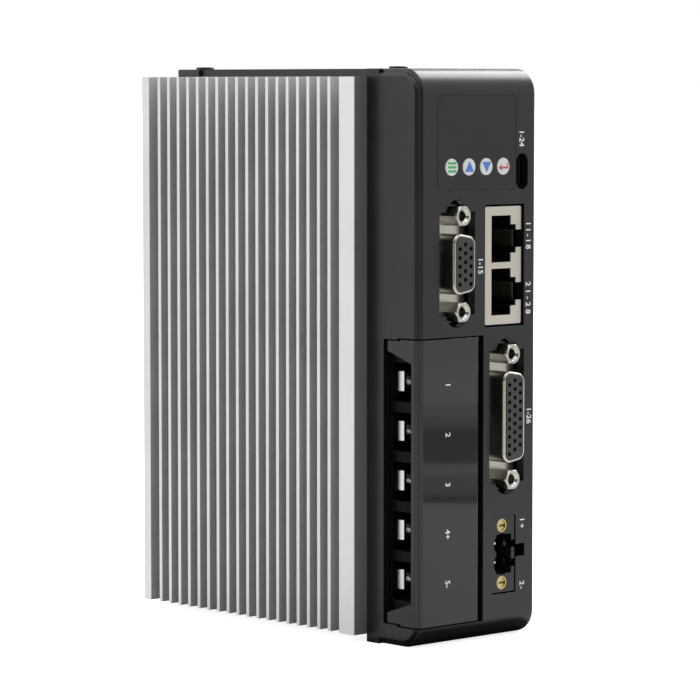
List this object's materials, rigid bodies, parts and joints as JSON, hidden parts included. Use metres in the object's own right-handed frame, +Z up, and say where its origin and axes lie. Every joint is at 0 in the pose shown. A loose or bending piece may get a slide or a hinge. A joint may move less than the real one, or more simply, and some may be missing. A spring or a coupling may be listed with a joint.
{
  "type": "servo drive",
  "caption": "Upright compact servo drive: finned aluminium heatsink on one side, black front with display, keys, plug ports and a hinged terminal door.",
  "frame": {"origin": "centre of the drive's footprint, on the plane it stands on", "axes": "+Z up along the tall side, front face towards -Y, heatsink fins towards -X"},
  "size_m": [0.0472, 0.1102, 0.1513],
  "materials": {
    "aluminium": "satin",
    "shell": "semi-gloss",
    "cover": "satin",
    "door": "gloss",
    "steel": "satin",
    "black_steel": "satin",
    "black_insulator": "matt",
    "tinned_brass": "satin",
    "tinned_steel": "bright",
    "overlay": "matt film",
    "smoked_window": "smoked",
    "display_module": "matt",
    "key_white": "satin",
    "board": "solder resist",
    "brass": "satin",
    "port_shell": "nickel plated",
    "port_core": "satin",
    "gold_contact": "gold plated",
    "jackscrew": "nickel plated",
    "port_shield": "satin nickel",
    "header": "satin",
    "pad": "matt",
    "chip": "matt",
    "capacitor": "sleeved",
    "sheet": "film"
  },
  "bodies": {
    "drive": {"heatsink": "aluminium", "front_shell": "shell", "side_panel": "shell", "rear_cover": "cover", "terminal_block": "black_insulator", "terminal_bars": "tinned_brass", "clamp_plates": "tinned_steel", "terminal_screws": "steel", "display_overlay": "overlay", "display_window": "smoked_window", "digit_display": "display_module", "key_switches": "black_insulator", "display_board": "board", "display_board_screws": "steel", "control_board": "board", "control_board_screws": "steel", "power_board": "board", "power_board_screws": "steel", "board_pillars": "brass", "board_link": "black_insulator", "feedback_port_shell": "port_shell", "feedback_port_core": "port_core", "feedback_port_body": "black_insulator", "feedback_port_contacts": "gold_contact", "feedback_port_jackscrews": "jackscrew", "signal_port_shell": "port_shell", "signal_port_core": "port_core", "signal_port_body": "black_insulator", "signal_port_contacts": "gold_contact", "signal_port_jackscrews": "jackscrew", "network_shield": "port_shield", "network_insert": "black_insulator", "network_contacts": "gold_contact", "service_port_shell": "black_steel", "service_port_tongue": "black_insulator", "resistor_header": "header", "header_pins": "tinned_brass", "header_screws": "brass", "cover_screws": "black_steel", "base_screws": "black_steel", "thermal_pad": "pad", "power_switches": "chip", "power_switch_screws": "steel", "capacitors": "capacitor", "driver_chips": "chip", "control_chip": "chip", "insulating_sheet": "sheet"},
    "door": {"terminal_door": "door", "door_hinge_pins": "black_steel"},
    "button_menu": {"button_menu": "key_white"},
    "button_up": {"button_up": "key_white"},
    "button_down": {"button_down": "key_white"},
    "button_enter": {"button_enter": "key_white"}
  },
  "joints": [
    {"name": "door_hinge", "type": "hinge", "parent": "drive", "child": "door", "pos_m": [-0.01715, -0.04245, 0.04305], "axis": [0, 0, -1], "range_deg": [0, 100]},
    {"name": "press_menu", "type": "slide", "parent": "drive", "child": "button_menu", "axis": [0, 1, 0], "range_m": [0, 0.0003], "stiffness_N_per_m": 400, "springref_m": -0.0003},
    {"name": "press_up", "type": "slide", "parent": "drive", "child": "button_up", "axis": [0, 1, 0], "range_m": [0, 0.0003], "stiffness_N_per_m": 400, "springref_m": -0.0003},
    {"name": "press_down", "type": "slide", "parent": "drive", "child": "button_down", "axis": [0, 1, 0], "range_m": [0, 0.0003], "stiffness_N_per_m": 400, "springref_m": -0.0003},
    {"name": "press_enter", "type": "slide", "parent": "drive", "child": "button_enter", "axis": [0, 1, 0], "range_m": [0, 0.0003], "stiffness_N_per_m": 400, "springref_m": -0.0003}
  ]
}
